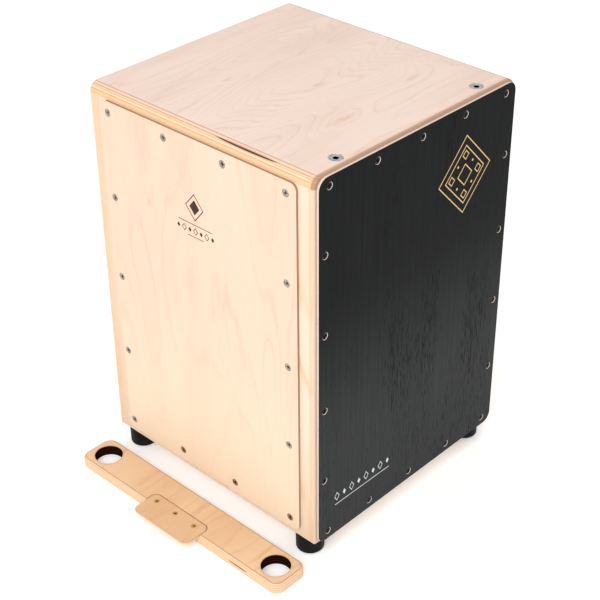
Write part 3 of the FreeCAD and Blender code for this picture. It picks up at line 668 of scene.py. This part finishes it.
def add_film(bm, surface, outline, hole=None):
    """A thin film over a surface with a closed outline, and a hole of as many points if one is given."""
    def ring(points, height):
        return [bm.verts.new(surface(a, b, height)) for a, b in points]
    top = ring(outline, FILM)
    base = ring(outline, -FILM / 2)
    count = len(outline)
    for i in range(count):
        k = (i + 1) % count
        bm.faces.new((top[i], top[k], base[k], base[i]))
    if hole is None:
        bm.faces.new(top)
        bm.faces.new(base)
        return
    inner_top = ring(hole, FILM)
    inner_base = ring(hole, -FILM / 2)
    for i in range(count):
        k = (i + 1) % count
        bm.faces.new((top[i], top[k], inner_top[k], inner_top[i]))
        bm.faces.new((base[i], base[k], inner_base[k], inner_base[i]))
        bm.faces.new((inner_top[i], inner_top[k], inner_base[k], inner_base[i]))


def line_round(bm, surface, outline, width):
    """A painted line of one width round a closed outline."""
    add_film(bm, surface, outset(outline, width / 2), outset(outline, -width / 2))


def piece(name, bm, material, body):
    """Turns a finished bmesh into an object that rides on a body."""
    bmesh.ops.recalc_face_normals(bm, faces=bm.faces)
    mesh = bpy.data.meshes.new(name)
    bm.to_mesh(mesh)
    bm.free()
    mesh.materials.append(material)
    made = bpy.data.objects.new(name, mesh)
    bpy.context.scene.collection.objects.link(made)
    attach(made, body)
    return made


def plate_ornament():
    """Gold lines high on the front plate: three nested rhombi with small ones and dots between them."""
    bm = bmesh.new()
    centre = (230.0, 374.5)
    for half in (44.0, 33.0, 12.0):
        line_round(bm, plate_surface, rhombus(centre, half, half * 1.05), 1.2)
    for angle in range(0, 360, 90):
        small = rhombus(around(centre, 22.5, 23.5, angle), 5.0, 5.2)
        line_round(bm, plate_surface, small, 1.1)
        dot = rhombus(around(centre, 17.6, 18.4, angle + 45), 1.7, 1.8)
        add_film(bm, plate_surface, dot)
    return piece("plate_ornament", bm, gold_paint(), "drum")


def plate_border():
    """A short border low on the front plate: outlined and filled rhombi by turns over a thin line."""
    bm = bmesh.new()
    left, middle, pitch, count = 30.0, 52.0, 12.2, 8
    for i in range(count):
        a = left + i * pitch
        if i % 2:
            add_film(bm, plate_surface, rhombus((a, middle), 2.4, 3.8))
        else:
            line_round(bm, plate_surface, rhombus((a, middle), 3.6, 5.4), 0.8)
    right = left + (count - 1) * pitch
    add_film(bm, plate_surface, stroke(left - 3, right + 3, middle - 11.0, 0.9))
    return piece("plate_border", bm, white_print(), "drum")


def panel_ornament():
    """A burned motif high on the side panel: a rhombus within another, over a row between two lines."""
    bm = bmesh.new()
    a, b = 138.0, 358.0
    line_round(bm, panel_surface, rhombus((a, b), 13.0, 15.5), 1.0)
    add_film(bm, panel_surface, rhombus((a, b), 7.5, 9.0))
    count, pitch, row = 7, 8.6, b - 29
    half = (count - 1) / 2 * pitch
    for i in range(count):
        across = a - half + i * pitch
        if i % 2:
            line_round(bm, panel_surface, rhombus((across, row), 3.2, 3.9), 0.8)
        else:
            add_film(bm, panel_surface, rhombus((across, row), 2.3, 3.0))
    for level, reach in ((row + 7.5, half), (row - 7.5, half * 0.45)):
        add_film(bm, panel_surface, stroke(a - reach, a + reach, level, 0.8))
    return piece("panel_ornament", bm, burned_mark(), "drum")


# ---------------------------------------------------------------- stage, light and camera

# Where the camera aims from the object's centre and how far off it stands, in metres; lens in millimetres.
CAMERA_AIM = Vector((-0.00125, -0.0344, -0.0013))
CAMERA_DISTANCE = 1.6033
CAMERA_AZIMUTH = math.radians(-46.463)
CAMERA_ELEVATION = math.radians(33.009)
CAMERA_ROLL = math.radians(-0.478)
CAMERA_LENS = 85.244
CAMERA_SENSOR = 36

# Half the floor's side and its drop below the object, in metres, and the light that floor and world give off.
FLOOR_HALF = 6.0
FLOOR_DROP = 0.1 * MM
FLOOR_GLOW = 0.18
WORLD_LIGHT = 0.7


def centre_of_object():
    """The middle of the CAD box."""
    return (cad_low + cad_high) / 2


def make_camera():
    """A camera with a long lens, looking down at the object's front left corner."""
    data = bpy.data.cameras.new("camera")
    data.lens = CAMERA_LENS
    data.sensor_width = CAMERA_SENSOR
    camera = bpy.data.objects.new("camera", data)
    bpy.context.scene.collection.objects.link(camera)
    aim = centre_of_object() + CAMERA_AIM
    turn = Matrix.Rotation(CAMERA_AZIMUTH, 4, "Z")
    tilt = Matrix.Rotation(math.pi / 2 - CAMERA_ELEVATION, 4, "X")
    roll = Matrix.Rotation(CAMERA_ROLL, 4, "Z")
    back = Matrix.Translation((0, 0, CAMERA_DISTANCE))
    camera.matrix_world = Matrix.Translation(aim) @ turn @ tilt @ back @ roll
    bpy.context.scene.camera = camera


def make_floor():
    """A plain, pale, faintly glowing floor just under the object."""
    bm = bmesh.new()
    bmesh.ops.create_grid(bm, x_segments=8, y_segments=8, size=FLOOR_HALF)
    mesh = bpy.data.meshes.new("floor")
    bm.to_mesh(mesh)
    bm.free()
    floor = bpy.data.objects.new("floor", mesh)
    floor.location.z = cad_low.z - FLOOR_DROP
    bpy.context.scene.collection.objects.link(floor)
    s = Shade("floor_paper", 400, roughness=0.85, specular=0.2)
    cloud = s.noise((1 / 400, 1 / 400, 1 / 400), detail=2.0)
    s.surface.inputs["Emission Strength"].default_value = FLOOR_GLOW
    mesh.materials.append(s.finish(s.blend(cloud, srgb(246, 246, 245), srgb(250, 250, 250))))


def make_lamp(name, place, side, power):
    """A square soft light at a place from the object's centre, turned toward it."""
    data = bpy.data.lights.new(name, "AREA")
    data.shape = "SQUARE"
    data.size = side
    data.energy = power
    lamp = bpy.data.objects.new(name, data)
    aim = centre_of_object()
    lamp.location = aim + Vector(place)
    lamp.rotation_euler = (aim - lamp.location).to_track_quat("-Z", "Y").to_euler()
    bpy.context.scene.collection.objects.link(lamp)


def make_light():
    """A white studio: even light all round and three soft lamps."""
    world = bpy.data.worlds.new("studio")
    world.use_nodes = True
    background = world.node_tree.nodes["Background"]
    background.inputs["Color"].default_value = (1.0, 1.0, 1.0, 1.0)
    background.inputs["Strength"].default_value = WORLD_LIGHT
    bpy.context.scene.world = world
    bpy.context.scene.view_settings.view_transform = "Standard"
    make_lamp("key", (-1.9, -0.9, 1.5), 1.6, 42)
    make_lamp("overhead", (0.3, 0.3, 2.2), 2.0, 12)
    make_lamp("fill", (1.2, -2.0, 0.9), 1.2, 5)


make_camera()
make_floor()
make_light()
dress_wood()
dress_metal()
plate_ornament()
plate_border()
panel_ornament()
